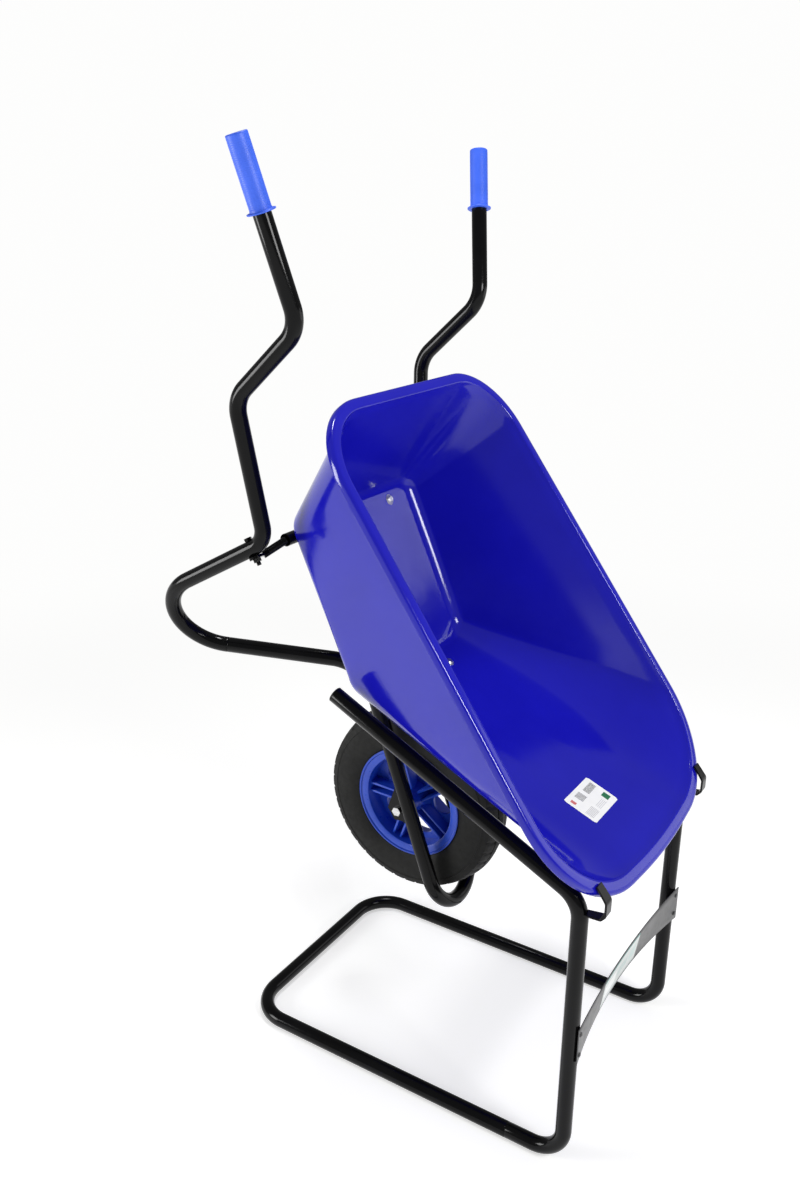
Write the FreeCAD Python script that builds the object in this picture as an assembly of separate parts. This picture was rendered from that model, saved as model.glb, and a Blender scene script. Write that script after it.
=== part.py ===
import FreeCAD, Part
import math
import os

from FreeCAD import Placement, Rotation, Vector

# Wheelbarrow hung nose-down on its tubular storage stand.
# Units mm, +Z up, X fore and aft (nose towards +X), Y across.
# Barrow pieces are drawn in the barrow's own frame (origin on the axle,
# z square to the tray rim) and then tipped on to the stand.

# ---- driving dimensions: stand -------------------------------------------
TUBE = 30.0            # outside diameter of every frame tube
WALL = 2.0
POST_X = 409.0         # centre line of the two posts
POST_Y = 243.0
POST_TOP = 568.0       # where post and diagonal centre lines meet
DIAGONAL_RUN = 498.0
DIAGONAL_RISE = 248.0
LOOP_DEPTH = 730.0     # posts to the rear floor rail
JOINT_X = 112.0        # tube joint behind the posts
POST_BEND = 60.0
LOOP_BEND = 80.0
HOOK_WIDTH = 22.0
BAND_LOW = 240.0
BAND_HIGH = 316.0

# ---- driving dimensions: barrow placement --------------------------------
AXLE_X = POST_X - 466.8
AXLE_Z = 503.7
TILT = 54.2            # degrees nose down

# ---- driving dimensions: tray --------------------------------------------
RIM_REAR = -702.3
RIM_FRONT = 237.0
RIM_BOW = 27.0
RIM_HALF_REAR = 307.8
RIM_HALF_FRONT = 332.0
RIM_Z = 460.0
RIM_LIP = 18.0
RIM_DROP = 15.5
TRAY_WALL = 4.0
FLOOR_REAR = -590.0
FLOOR_REAR_Z = 218.2
FLOOR_FRONT = -245.0
FLOOR_FRONT_Z = 148.1
FLOOR_HALF = 201.0
FLOOR_FILLET = 34.0

# ---- driving dimensions: chassis -----------------------------------------
GRIP_END = Vector(-1074.6, 369.2, 642.6)
HANDLE_BEND = Vector(-813.6, 297.6, 519.8)
NECK_BEND = Vector(-792.0, 298.8, 335.5)
CROSS_BEND = Vector(-570.5, 260.0, 204.0)
FOOT = Vector(-620.5, 309.1, -267.7)
KNEE = Vector(-293.0, 74.0, 110.6)
NOSE = Vector(227.9, 74.0, -39.5)
LEG_SEAM = 0.505       # share of the foot-to-knee run kept by the leg tube
GRIP_D = 35.0
GRIP_LENGTH = 116.0
GRIP_WALL = 6.0
FOOT_BEND = 96.0
KNEE_BEND = 95.0
CROSS_TUBE_D = 24.0
CROSS_X = -561.0
CROSS_Z = 200.0

BAR_ALONG = 44.0       # up the front wall from the floor edge
BAR_WIDE = 30.0
BAR_DEEP = 22.0
BAR_HALF = 112.0
REAR_BOLT_Y = 118.0
FRONT_BOLT_Y = 80.0
STICKER_ALONG = 441.0
STICKER_Y = -30.0

# ---- driving dimensions: wheel -------------------------------------------
TYRE_R = 198.0
TYRE_HALF = 46.0
RIM_R = 118.0
RIM_SEAT_R = 104.0
AXLE_D = 12.0
AXLE_HEX = 17.0
SPACER_D = 19.0
BEARING_D = 32.0
BEARING_W = 10.0
HUB_HALF = 50.0
BEAD_Y = 39.0
FORK_Y = 74.0          # fork leg centre lines and the axle plates under them
PLATE = 6.0
RIB_PAIRS = 5
RIB_TURN = 1.0
RIB_HALF = 30.0
VALVE_D = 8.0
VALVE_LOW = Vector(0, 14, -84)
VALVE_HIGH = Vector(0, 14, -146)
RUN_GAP = 0.35         # running gap between moving pieces

X = Vector(1, 0, 0)
Y = Vector(0, 1, 0)
Z = Vector(0, 0, 1)
SIDES = {"left": 1, "right": -1}

BARROW = Placement(Vector(AXLE_X, 0, AXLE_Z), Rotation(Y, TILT))


def mirrored(point, side):
    return Vector(point.x, point.y * side, point.z)


def between(a, b, share):
    return a + (b - a) * share


def rod(start, end, diameter):
    line = end - start
    return Part.makeCylinder(diameter / 2, line.Length, start, line)


def ring(start, end, outer, inner):
    return rod(start, end, outer).cut(rod(start, end, inner))


def annulus(centre, normal, outer, inner):
    circles = [Part.Wire(Part.Circle(centre, normal, d / 2).toShape()) for d in (outer, inner)]
    return Part.makeFace(circles, "Part::FaceMakerBullseye")


def tube(points, radii, outer=TUBE, wall=WALL):
    """Round tube along straight runs joined by bends of the given radii."""
    pieces = []
    start = points[0]
    for before, corner, after, radius in zip(points, points[1:], points[2:], radii):
        come = (corner - before).normalize()
        leave = (after - corner).normalize()
        turn = come.getAngle(leave)
        reach = radius * math.tan(turn / 2)
        arc_start = corner - come * reach
        inward = (leave - come).normalize()
        centre = corner + inward * (radius / math.cos(turn / 2))
        if (arc_start - start).Length > 0.05:
            pieces.append(ring(start, arc_start, outer, outer - 2 * wall))
        section = annulus(arc_start, come, outer, outer - 2 * wall)
        pieces.append(section.revolve(centre, come.cross(leave), math.degrees(turn)))
        start = corner + leave * reach
    pieces.append(ring(start, points[-1], outer, outer - 2 * wall))
    return pieces[0].multiFuse(pieces[1:]).removeSplitter()


def prism(outline, direction):
    """Solid from a closed outline of points swept along a direction."""
    return Part.Face(Part.makePolygon(outline + outline[:1])).extrude(direction)


def rounded_plate(centre, along, across, length, width, thick):
    """Flat bar with round ends, centred on a point."""
    along = along.normalize()
    across = across.normalize()
    normal = along.cross(across)
    half = along * ((length - width) / 2)
    low = centre - normal * (thick / 2)
    side = across * (width / 2)
    block = prism([low - half - side, low + half - side, low + half + side, low - half + side],
                  normal * thick)
    ends = [Part.makeCylinder(width / 2, thick, low + half * sign, normal) for sign in (1, -1)]
    return block.multiFuse(ends).removeSplitter()


def hexagon(base, axis, across_flats, height):
    turn = Rotation(Z, axis)
    corner_r = across_flats / math.sqrt(3)
    corners = [Vector(corner_r * math.cos(math.pi / 3 * k), corner_r * math.sin(math.pi / 3 * k), 0)
               for k in range(6)]
    return prism([base + turn.multVec(c) for c in corners], axis * height)


def nut(base, axis, bore, across_flats, height):
    axis = Vector(axis).normalize()
    return hexagon(base, axis, across_flats, height).cut(
        Part.makeCylinder(bore / 2, height, base, axis))


def bolt(seat, axis, diameter, length, head, head_height):
    """Hex bolt: the head sits on the seat, the shank runs along the axis."""
    axis = Vector(axis).normalize()
    shank = Part.makeCylinder(diameter / 2, length, seat, axis)
    return hexagon(seat, axis * -1, head, head_height).fuse(shank).removeSplitter()


def save(name, shape):
    shape.exportStep("parts/%s.step" % name)


def save_barrow(name, shape):
    placed = shape.copy()
    placed.Placement = BARROW.multiply(placed.Placement)
    save(name, placed)


# ---- stand ----------------------------------------------------------------
def stand_point(back, y, z):
    return Vector(POST_X - back, y, z)


def stand_tubes(screws):
    r = TUBE / 2
    loop = [stand_point(JOINT_X, -POST_Y, r), stand_point(LOOP_DEPTH, -POST_Y, r),
            stand_point(LOOP_DEPTH, POST_Y, r), stand_point(JOINT_X, POST_Y, r)]
    save("stand_floor_loop", tube(loop, [LOOP_BEND, LOOP_BEND]))
    sleeves = []
    caps = []
    slope = Vector(-DIAGONAL_RUN, 0, DIAGONAL_RISE).normalize()
    for name, side in SIDES.items():
        y = POST_Y * side
        top = stand_point(DIAGONAL_RUN, y, POST_TOP + DIAGONAL_RISE)
        path = [stand_point(JOINT_X, y, r), stand_point(0, y, r), stand_point(0, y, POST_TOP), top]
        upright = tube(path, [POST_BEND, POST_BEND])
        save("stand_upright_" + name, upright.cut(screws))
        save("rim_hook_" + name, hook(side, upright))
        sleeves.append(ring(stand_point(JOINT_X + 40, y, r), stand_point(JOINT_X - 40, y, r),
                            TUBE - 2 * WALL, TUBE - 2 * WALL - 3))
        plug = rod(top - slope * 14, top, TUBE - 2 * WALL)
        disc = rod(top, top + slope * 3, TUBE)
        caps.append(plug.fuse(disc).removeSplitter())
    save("stand_joint_sleeves", Part.makeCompound(sleeves))
    save("stand_end_caps", Part.makeCompound(caps))


def hook(side, upright):
    """Bent strap welded to the post top, its tip lying over the tray rim."""
    profile = [(8, 546), (40, 549), (49.4, 560), (49.4, 585), (30, 611.5),
               (26.7, 609), (45.2, 583.6), (45.2, 561.6), (38, 553.2), (8, 550)]
    y = side * POST_Y - HOOK_WIDTH / 2
    points = [Vector(POST_X + x, y, z) for x, z in profile]
    strap = prism(points, Y * HOOK_WIDTH).cut(upright)
    return max(strap.Solids, key=lambda s: s.Volume)


def band_section(z, sag, front, back, half):
    """Curved band outline at one height: two arcs closed by straight ends."""
    def arc(offset):
        ends = [Vector(POST_X + offset, sign * half, z) for sign in (-1, 1)]
        middle = Vector(POST_X + offset - sag, 0, z)
        return Part.Arc(ends[0], middle, ends[1]).toShape()
    front_arc = arc(front)
    back_arc = arc(back)
    ends = [Part.makeLine(front_arc.Vertexes[k].Point, back_arc.Vertexes[k].Point) for k in (0, 1)]
    return Part.Wire(Part.__sortEdges__([front_arc, ends[1], back_arc, ends[0]]))


def curved_band(front, back, half):
    sections = [band_section(BAND_LOW, 26, front, back, half),
                band_section(BAND_HIGH, 13, front, back, half)]
    return Part.makeLoft(sections, True, True)


def name_band():
    r = TUBE / 2
    half = POST_Y + 10
    band = curved_band(r + 4.3, r + 2.5, half)
    window = Part.makeBox(100, 178, BAND_HIGH - BAND_LOW - 9,
                          Vector(POST_X - 60, -108, BAND_LOW + 4.5))
    label = curved_band(r + 4.6, r + 4.3, half).common(window)
    screws = []
    for side in SIDES.values():
        for z in (BAND_LOW + 16, BAND_HIGH - 16):
            seat = Vector(POST_X + r + 3, side * POST_Y, z)
            head = Part.makeCylinder(4.5, 2.5, seat, X)
            shank = rod(seat, seat - X * 8, 4)
            screws.append(head.fuse(shank).removeSplitter())
    screws = Part.makeCompound(screws)
    save("name_band", band.cut(screws))
    save("name_label", label)
    save("band_screws", screws)
    return screws


# ---- chassis tubes --------------------------------------------------------
def leg_seam(side):
    return between(mirrored(FOOT, side), mirrored(KNEE, side), LEG_SEAM)


def handle_tube(side):
    path = [GRIP_END, HANDLE_BEND, NECK_BEND, CROSS_BEND, FOOT]
    path = [mirrored(p, side) for p in path]
    path[0] = path[0] + (path[1] - path[0]).normalize() * GRIP_WALL
    return tube(path + [leg_seam(side)], [60, 60, 45, FOOT_BEND])


def fork_tube():
    path = [leg_seam(1), KNEE, NOSE, mirrored(NOSE, -1), mirrored(KNEE, -1), leg_seam(-1)]
    return tube(path, [KNEE_BEND, NOSE.y, NOSE.y, KNEE_BEND])


def leg_sleeve(side):
    run = (mirrored(KNEE, side) - mirrored(FOOT, side)).normalize()
    seam = leg_seam(side)
    inner = TUBE - 2 * WALL
    return ring(seam - run * 5, seam + run * 65, inner, inner - 3)


def grip(side):
    end = mirrored(GRIP_END, side)
    run = (mirrored(HANDLE_BEND, side) - end).normalize()
    inner = end + run * GRIP_LENGTH
    body = rod(end + run * 6, inner, GRIP_D)
    dome = Part.makeCone(GRIP_D / 2 - 5, GRIP_D / 2, 6, end, run)
    flange = rod(inner - run * 3, inner, GRIP_D + 12)
    ridges = [rod(end + run * (22 + 14 * k), end + run * (28 + 14 * k), GRIP_D + 1.6)
              for k in range(6)]
    solid = body.multiFuse([dome, flange] + ridges)
    return solid.cut(rod(end + run * GRIP_WALL, inner + run, TUBE)).removeSplitter()


# ---- rear cross tube ------------------------------------------------------
def leg_face(side):
    """Point on the leg tube below the cross bend, its run and its front normal."""
    run = (mirrored(FOOT, side) - mirrored(CROSS_BEND, side)).normalize()
    front = (X - run * X.dot(run)).normalize()
    return mirrored(CROSS_BEND, side) + run * 33, run, front


def cross_tube():
    end = 206
    pieces = [ring(Vector(CROSS_X, -end, CROSS_Z), Vector(CROSS_X, end, CROSS_Z),
                   CROSS_TUBE_D, CROSS_TUBE_D - 4)]
    for side in SIDES.values():
        centre, run, front = leg_face(side)
        along = run.cross(front)
        if along.y * side < 0:
            along = along * -1
        plate = centre + front * (TUBE / 2 + 2.5)
        pieces.append(rounded_plate(plate - along * 13, along, run, 52, 26, 5))
        pieces.append(rod(Vector(CROSS_X, side * (end - 2), CROSS_Z), plate - along * 22, 15))
    return pieces[0].multiFuse(pieces[1:]).removeSplitter()


def cross_bolts():
    bolts = []
    nuts = []
    holes = []
    for side in SIDES.values():
        centre, run, front = leg_face(side)
        bolts.append(bolt(centre - front * (TUBE / 2), front, 8, TUBE + 18, 13, 5.5))
        nuts.append(nut(centre + front * (TUBE / 2 + 5), front, 8, 13, 6.5))
        holes.append(rod(centre - front * 30, centre + front * 30, 8))
    return Part.makeCompound(bolts), Part.makeCompound(nuts), Part.makeCompound(holes)


# ---- tray -----------------------------------------------------------------
def rounded_wire(points, radii, z_of):
    """Closed outline with rounded corners, lifted to the height z_of(x)."""
    edges = []
    cuts = []
    count = len(points)
    for k in range(count):
        before, corner, after = points[k - 1], points[k], points[(k + 1) % count]
        come = (corner - before).normalize()
        leave = (after - corner).normalize()
        turn = come.getAngle(leave)
        reach = radii[k] * math.tan(turn / 2)
        inward = (leave - come).normalize()
        middle = corner + inward * (radii[k] / math.cos(turn / 2) - radii[k])
        cuts.append((corner - come * reach, middle, corner + leave * reach))

    def lift(p):
        return Vector(p.x, p.y, z_of(p.x))

    for k in range(count):
        a, m, b = (lift(p) for p in cuts[k])
        arc = Part.Arc(a, m, b).toShape()
        edges.append(arc)
        edges.append(Part.makeLine(b, lift(cuts[(k + 1) % count][0])))
    return Part.Wire(edges)


def tray_outline(grow, z_of, level, front_grow):
    """Rounded outline of the tray body: level 0 is the floor, 1 the rim."""
    rear = FLOOR_REAR + (RIM_REAR + RIM_LIP - FLOOR_REAR) * level - grow
    front = FLOOR_FRONT + (RIM_FRONT + RIM_BOW - RIM_LIP - FLOOR_FRONT) * level + front_grow
    half_rear = FLOOR_HALF + (RIM_HALF_REAR - RIM_LIP - FLOOR_HALF) * level + grow
    half_front = FLOOR_HALF + (RIM_HALF_FRONT - RIM_LIP - FLOOR_HALF) * level + grow
    bow = RIM_BOW * (0.1 + 0.9 * level)
    corners = [Vector(rear, -half_rear, 0), Vector(front - 0.84 * bow, -half_front, 0),
               Vector(front + 0.16 * bow, 0, 0), Vector(front - 0.84 * bow, half_front, 0),
               Vector(rear, half_rear, 0)]
    rear_r = 36 + 90 * level + grow
    front_r = 50 + 130 * level + grow
    return rounded_wire(corners, [rear_r, front_r, 1300, front_r, rear_r], z_of)


def floor_height(x):
    slope = (FLOOR_REAR_Z - FLOOR_FRONT_Z) / (FLOOR_REAR - FLOOR_FRONT)
    return FLOOR_FRONT_Z + slope * (x - FLOOR_FRONT)


def tray_body(inset):
    """Tapered tub: sloping floor, level rim; inset is measured square to the walls."""
    lift = inset * 1.02
    floor = tray_outline(-inset, lambda x: floor_height(x) + lift, 0, -inset * 0.25)
    rim = tray_outline(-inset, lambda x: RIM_Z, 1, -inset * 1.95)
    body = Part.makeLoft([floor, rim], True, True)
    low = [e for e in body.Edges if max(v.Z for v in e.Vertexes) < FLOOR_REAR_Z + 15]
    return body.makeFillet(FLOOR_FILLET - inset, low)


def slab(outline, low, height):
    """Solid from a flat outline wire at any height, moved to start at low."""
    face = Part.Face(outline)
    face.translate(Z * (low - RIM_Z))
    return face.extrude(Z * height)


def tray():
    def rim(grow):
        return tray_outline(grow, lambda x: RIM_Z, 1, grow)

    lip = slab(rim(RIM_LIP), RIM_Z - TRAY_WALL, TRAY_WALL)
    skirt = slab(rim(RIM_LIP), RIM_Z - RIM_DROP, RIM_DROP).cut(
        slab(rim(RIM_LIP - TRAY_WALL), RIM_Z - RIM_DROP, RIM_DROP))
    shell = tray_body(0).multiFuse([lip, skirt]).cut(tray_body(TRAY_WALL))
    return shell.removeSplitter()


def front_wall_frame(along):
    """Point on the outside of the front wall, the way up it and its normal."""
    low = Vector(FLOOR_FRONT, 0, FLOOR_FRONT_Z)
    high = Vector(RIM_FRONT + RIM_BOW - RIM_LIP, 0, RIM_Z)
    up = (high - low).normalize()
    normal = Vector(-up.z, 0, up.x)
    return low + up * along, up, normal


# ---- front cross bar ------------------------------------------------------
def front_bar():
    """Box bar under the front wall on two plates welded to the fork tube."""
    top, up, normal = front_wall_frame(BAR_ALONG)
    half = up * (BAR_WIDE / 2)
    low = top - normal * BAR_DEEP
    shift = Y * -BAR_HALF
    outline = [top - half + shift, top + half + shift, low + half + shift, low - half + shift]
    bar = prism(outline, Y * (2 * BAR_HALF))
    inward = up * WALL
    inset = [outline[0] + inward - normal * WALL, outline[1] - inward - normal * WALL,
             outline[2] - inward + normal * WALL, outline[3] + inward + normal * WALL]
    bar = bar.cut(prism(inset, Y * (2 * BAR_HALF)))
    fork = fork_tube()
    fork_z = between(KNEE, NOSE, (low.x - KNEE.x) / (NOSE.x - KNEE.x)).z
    pieces = []
    for side in SIDES.values():
        shift = Y * (side * (KNEE.y - 9) - 3)
        foot = [low + half * 0.8 + shift, low - half * 0.8 + shift,
                Vector(low.x - 15, shift.y, fork_z + 8), Vector(low.x + 15, shift.y, fork_z + 8)]
        plate = prism(foot, Y * 6).cut(fork)
        pieces.append(max(plate.Solids, key=lambda s: s.BoundBox.ZMax))
    return bar.multiFuse(pieces).cut(tray_body(0)).removeSplitter()


# ---- tray fasteners -------------------------------------------------------
def tray_fasteners():
    """Bolts, washers and nuts holding the tray floor and front wall to the chassis."""
    bolts = []
    washers = []
    nuts = []
    floor_up = Vector(FLOOR_REAR_Z - FLOOR_FRONT_Z, 0, FLOOR_FRONT - FLOOR_REAR).normalize()
    rear = Vector(CROSS_X, 0, CROSS_Z) + floor_up * (CROSS_TUBE_D / 2)
    front, _, front_normal = front_wall_frame(BAR_ALONG)
    spots = [(rear, floor_up, REAR_BOLT_Y, CROSS_TUBE_D),
             (front, front_normal, FRONT_BOLT_Y, BAR_DEEP)]
    for point, axis, y, depth in spots:
        for side in SIDES.values():
            under = point + Y * (y * side)
            seat = under + axis * TRAY_WALL
            washers.append(ring(seat, seat + axis * 1.5, 22, 8))
            head = Part.makeCone(9, 5.5, 4, seat + axis * 1.5, axis)
            shank = rod(seat + axis * 1.5, under - axis * (depth + 11), 8)
            bolts.append(head.fuse(shank).removeSplitter())
            nuts.append(nut(under - axis * depth, axis * -1, 8, 13, 6.5))
    return Part.makeCompound(bolts), Part.makeCompound(washers), Part.makeCompound(nuts)


def sticker():
    """Thin label following the inner face of the front wall."""
    point, up, normal = front_wall_frame(STICKER_ALONG)
    corner = point - up * 35 + Y * (STICKER_Y - 52)
    block = prism([corner, corner + up * 70, corner + up * 70 + Y * 104, corner + Y * 104],
                  normal * 12)
    return block.common(tray_body(TRAY_WALL)).cut(tray_body(TRAY_WALL + 0.3))


# ---- wheel ----------------------------------------------------------------
def turned(outline):
    """Solid of revolution about the axle from (radius, y) points."""
    points = [Vector(0, y, r) for r, y in outline]
    face = Part.Face(Part.makePolygon(points + points[:1]))
    return face.revolve(Vector(0, 0, 0), Y, 360)


def tyre():
    def at(r, y):
        return Vector(0, y, r)

    def arc(a, b, c):
        return Part.Arc(at(*a), at(*b), at(*c)).toShape()

    def line(a, b):
        return Part.makeLine(at(*a), at(*b))

    shoulder = (TYRE_R - 11, TYRE_HALF - 7)
    edges = []
    for s in (1, -1):
        edges += [line((RIM_SEAT_R, (BEAD_Y - 11) * s), (RIM_SEAT_R, BEAD_Y * s)),
                  line((RIM_SEAT_R, BEAD_Y * s), (RIM_R, BEAD_Y * s)),
                  arc((RIM_R, BEAD_Y * s), (152, TYRE_HALF * s), (shoulder[0], shoulder[1] * s)),
                  line((RIM_SEAT_R, (BEAD_Y - 11) * s), (RIM_R + 2, (BEAD_Y - 5.5) * s)),
                  arc((RIM_R + 2, (BEAD_Y - 5.5) * s), (152, (TYRE_HALF - 6) * s),
                      (shoulder[0] - 7, (shoulder[1] - 6) * s))]
    edges.append(arc((shoulder[0], shoulder[1]), (TYRE_R, 0), (shoulder[0], -shoulder[1])))
    edges.append(arc((shoulder[0] - 7, shoulder[1] - 6), (TYRE_R - 10, 0),
                     (shoulder[0] - 7, 6 - shoulder[1])))
    face = Part.Face(Part.Wire(Part.__sortEdges__(edges)))
    body = face.revolve(Vector(0, 0, 0), Y, 360)
    grooves = [ring(Y * (y - 2), Y * (y + 2), 2 * TYRE_R + 10, 2 * TYRE_R - 7) for y in (-13, 13)]
    return body.cut(Part.makeCompound(grooves))


def inner_tube():
    radius = 27
    ring_r = TYRE_R - 10 - radius
    outer = Part.makeTorus(ring_r, radius, Vector(0, 0, 0), Y)
    return outer, outer.cut(Part.makeTorus(ring_r, radius - 2, Vector(0, 0, 0), Y))


def rim_barrel():
    half = BEAD_Y + 4
    barrel = turned([(RIM_SEAT_R - 6, -half), (RIM_R, -half), (RIM_R, -BEAD_Y),
                     (RIM_SEAT_R, -BEAD_Y), (RIM_SEAT_R, BEAD_Y), (RIM_R, BEAD_Y),
                     (RIM_R, half), (RIM_SEAT_R - 6, half)])
    return barrel.cut(rod(VALVE_LOW, VALVE_HIGH, VALVE_D))


def wheel_spokes():
    """Hub, web with round windows, and pairs of radial ribs inside the barrel."""
    inside = rod(Y * -RIB_HALF, Y * RIB_HALF, 2 * RIM_SEAT_R - 12)
    parts = [ring(Y * -3, Y * 3, 2 * RIM_SEAT_R - 12, 40)]
    for k in range(RIB_PAIRS):
        for offset in (-9, 9):
            rib = Part.makeBox(5, 2 * RIB_HALF, RIM_SEAT_R, Vector(offset - 2.5, -RIB_HALF, 20))
            rib.rotate(Vector(0, 0, 0), Y, 360 / RIB_PAIRS * k + RIB_TURN)
            parts.append(rib.common(inside))
    body = rod(Y * -HUB_HALF, Y * HUB_HALF, 52).multiFuse(parts)
    cuts = []
    for k in range(RIB_PAIRS):
        middle = math.radians(360 / RIB_PAIRS * (k + 0.5) + RIB_TURN)
        centre = Vector(math.sin(middle) * 62, 0, math.cos(middle) * 62)
        cuts.append(rod(centre - Y * 20, centre + Y * 20, 46))
    cuts.append(rod(Y * -HUB_HALF, Y * HUB_HALF, AXLE_D + 6))
    for side in (1, -1):
        cuts.append(rod(Y * (side * (HUB_HALF - BEARING_W)), Y * (side * HUB_HALF), BEARING_D))
    return body.cut(Part.makeCompound(cuts)).removeSplitter()


def bearing(side):
    face = Y * (side * HUB_HALF)
    back = Y * (side * (HUB_HALF - BEARING_W))
    body = ring(back, face, BEARING_D, AXLE_D + 0.1)
    groove = ring(face, face - Y * (side * 1.5), BEARING_D - 6, AXLE_D + 6)
    return body.cut(groove)


def valve(tube_solid):
    stem = rod(VALVE_LOW, VALVE_HIGH, VALVE_D)
    cap = rod(VALVE_LOW, VALVE_LOW + Vector(VALVE_LOW.x, 0, VALVE_LOW.z).normalize() * 9, 11)
    return stem.fuse(cap).cut(tube_solid).removeSplitter()


# ---- axle -----------------------------------------------------------------
def axle_bracket(side):
    """Plate hanging from the fork tube that carries one end of the axle."""
    run = (NOSE - KNEE).normalize()
    y = side * FORK_Y - PLATE / 2
    over = Vector(0, 0, KNEE.z - KNEE.x / run.x * run.z)
    rear = over - run * 62
    front = over + run * 50
    outline = [Vector(p.x, y, p.z) for p in (rear, front)]
    outline += [Vector(24, y, -4), Vector(14, y, -20), Vector(-14, y, -20), Vector(-26, y, -4)]
    plate = prism(outline, Y * PLATE)
    solid_leg = rod(mirrored(KNEE, side), mirrored(NOSE, side), TUBE)
    return plate.cut(solid_leg).cut(rod(Y * -120, Y * 120, AXLE_D))


def axle_set():
    out = FORK_Y + PLATE / 2
    axle = bolt(Y * -out, Y, AXLE_D, 2 * out + 16, AXLE_HEX, 8)
    spacers = []
    for side in SIDES.values():
        start = Y * (side * (HUB_HALF + RUN_GAP))
        spacers.append(ring(start, Y * (side * (FORK_Y - PLATE / 2)),
                            SPACER_D, AXLE_D))
    return axle, nut(Y * out, Y, AXLE_D, AXLE_HEX, 10), Part.makeCompound(spacers)


# ---- assembly -------------------------------------------------------------
def build_stand():
    screws = name_band()
    stand_tubes(screws)


def build_chassis():
    cross_bolt, cross_nut, cross_hole = cross_bolts()
    bolts, washers, nuts = tray_fasteners()
    cut = Part.makeCompound([cross_bolt, bolts])
    for name, side in SIDES.items():
        save_barrow("grip_" + name, grip(side))
        save_barrow("axle_bracket_" + name, axle_bracket(side))
    right_handle = handle_tube(-1).cut(cross_hole)
    save_barrow("handle_tube_right", right_handle)
    save_barrow("handle_tube_left", right_handle.mirror(Vector(0, 0, 0), Y))
    save_barrow("front_fork_tube", fork_tube())
    save_barrow("leg_joint_sleeves", Part.makeCompound([leg_sleeve(1), leg_sleeve(-1)]))
    save_barrow("rear_cross_tube", cross_tube().cut(cut))
    save_barrow("cross_tube_bolts", cross_bolt)
    save_barrow("cross_tube_nuts", cross_nut)
    save_barrow("front_cross_bar", front_bar().cut(cut))
    save_barrow("tray", tray().cut(cut).cut(washers))
    save_barrow("tray_bolts", bolts)
    save_barrow("tray_washers", washers)
    save_barrow("tray_nuts", nuts)
    save_barrow("tray_sticker", sticker())


def build_wheel():
    axle, axle_nut, spacers = axle_set()
    tube_solid, tube_shell = inner_tube()
    stem = valve(tube_solid)
    save_barrow("axle_bolt", axle)
    save_barrow("axle_nut", axle_nut)
    save_barrow("axle_spacers", spacers)
    save_barrow("tyre", tyre())
    save_barrow("inner_tube", tube_shell)
    save_barrow("rim_barrel", rim_barrel())
    save_barrow("wheel_spokes", wheel_spokes())
    save_barrow("tyre_valve", stem)
    save_barrow("wheel_bearings", Part.makeCompound([bearing(1), bearing(-1)]))


os.makedirs("parts", exist_ok=True)
build_stand()
build_chassis()
build_wheel()
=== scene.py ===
import math

import bmesh
import bpy
from mathutils import Matrix, Vector


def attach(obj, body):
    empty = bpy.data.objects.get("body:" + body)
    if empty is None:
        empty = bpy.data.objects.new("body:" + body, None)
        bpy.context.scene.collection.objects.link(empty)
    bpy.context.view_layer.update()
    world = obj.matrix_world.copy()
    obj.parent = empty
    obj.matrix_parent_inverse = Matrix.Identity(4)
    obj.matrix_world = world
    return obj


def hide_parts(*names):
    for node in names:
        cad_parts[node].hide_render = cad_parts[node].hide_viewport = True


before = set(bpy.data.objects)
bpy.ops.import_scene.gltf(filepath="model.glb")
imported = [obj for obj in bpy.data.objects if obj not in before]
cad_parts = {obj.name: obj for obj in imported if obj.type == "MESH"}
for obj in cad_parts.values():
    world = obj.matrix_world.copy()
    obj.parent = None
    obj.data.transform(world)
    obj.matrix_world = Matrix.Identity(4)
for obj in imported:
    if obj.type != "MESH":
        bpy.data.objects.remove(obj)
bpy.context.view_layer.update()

# Wheelbarrow hung nose-down on its storage stand. Pieces are built in
# millimetres, the barrow's and wheel's about the axle, and STAND or BARROW
# turns them into metres in the frame's place.

POST_X = 409.0
POST_Y = 243.0
AXLE_BACK = 466.8
AXLE_HEIGHT = 503.7
AXLE = Vector((POST_X - AXLE_BACK, 0, AXLE_HEIGHT))
TILT = math.radians(54.2)
MM = Matrix.Scale(0.001, 4)
STAND = MM
BARROW = MM @ Matrix.Translation(AXLE) @ Matrix.Rotation(TILT, 4, "Y")
TUBE_R = 15.0
WALL = 2.0
EDGE = 1.0
SIDES = {"left": 1, "right": -1}
ACROSS = Vector((0, 1, 0))


# ---- node materials --------------------------------------------------------
COAT_ROUGHNESS = 0.12
NOISE_LOW, NOISE_HIGH = 0.3, 0.7
WEAR_FINER = 5
WAVE_COARSER = 12
WAVE_DEEPER = 6
GRAIN_STRENGTH = 0.25
WAVE_STRENGTH = 0.12


def new_material(name, colour, rough, metal=0.0, coat=0.0, specular=0.5):
    m = bpy.data.materials.new(name)
    m.use_nodes = True
    b = m.node_tree.nodes["Principled BSDF"]
    b.inputs["Base Color"].default_value = (*colour, 1)
    b.inputs["Roughness"].default_value = rough
    b.inputs["Metallic"].default_value = metal
    b.inputs["Coat Weight"].default_value = coat
    b.inputs["Coat Roughness"].default_value = COAT_ROUGHNESS
    b.inputs["Specular IOR Level"].default_value = specular
    return m, m.node_tree, b


def noise(tree, scale, detail=4.0, rough=0.55):
    """Noise over the object's own coordinates, in metres."""
    coords = tree.nodes.new("ShaderNodeTexCoord")
    n = tree.nodes.new("ShaderNodeTexNoise")
    n.inputs["Scale"].default_value = scale
    n.inputs["Detail"].default_value = detail
    n.inputs["Roughness"].default_value = rough
    tree.links.new(coords.outputs["Object"], n.inputs["Vector"])
    return n.outputs["Fac"]


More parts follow.
